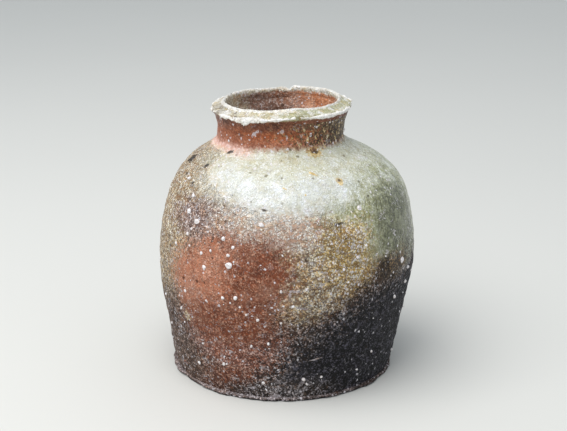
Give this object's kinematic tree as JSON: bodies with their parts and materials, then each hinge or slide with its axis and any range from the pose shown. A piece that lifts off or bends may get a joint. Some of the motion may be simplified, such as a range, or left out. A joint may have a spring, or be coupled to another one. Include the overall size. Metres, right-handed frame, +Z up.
{
  "type": "stoneware sake jar",
  "caption": "Squat wood-fired stoneware sake jar with a full belly, short flared collar, thick bevelled rim, flat foot and a run of natural ash glaze over one shoulder.",
  "frame": {"origin": "centre of the foot, on the surface the jar stands on", "axes": "+Z up along the jar's axis, +X towards the glazed side of the shoulder, -Y towards the viewer of the flame-flashed face"},
  "size_m": [0.1124, 0.1124, 0.12],
  "materials": {
    "foot_clay": "matt, dark and sandy",
    "charcoal_clay": "matt charcoal with fine pale specks",
    "flashed_clay": "matt, orange flame flash with white grains",
    "ochre_clay": "dry ochre ash speckle",
    "collar_clay": "matt orange brown",
    "rim_clay": "rough, thinly ashed",
    "ash_crust": "crusty white ash",
    "ash_glaze": "pale celadon, softly glossy",
    "feldspar": "milky white mineral"
  },
  "bodies": {
    "root": {"base_slab": "foot_clay", "lower_wall": "charcoal_clay", "belly_wall": "flashed_clay", "upper_wall": "flashed_clay", "shoulder_wall": "ochre_clay", "neck_collar": "collar_clay", "rim_band": "rim_clay", "rim_ash_bead": "ash_crust", "ash_glaze_coat": "ash_glaze", "feldspar_grains": "feldspar"}
  },
  "joints": []
}
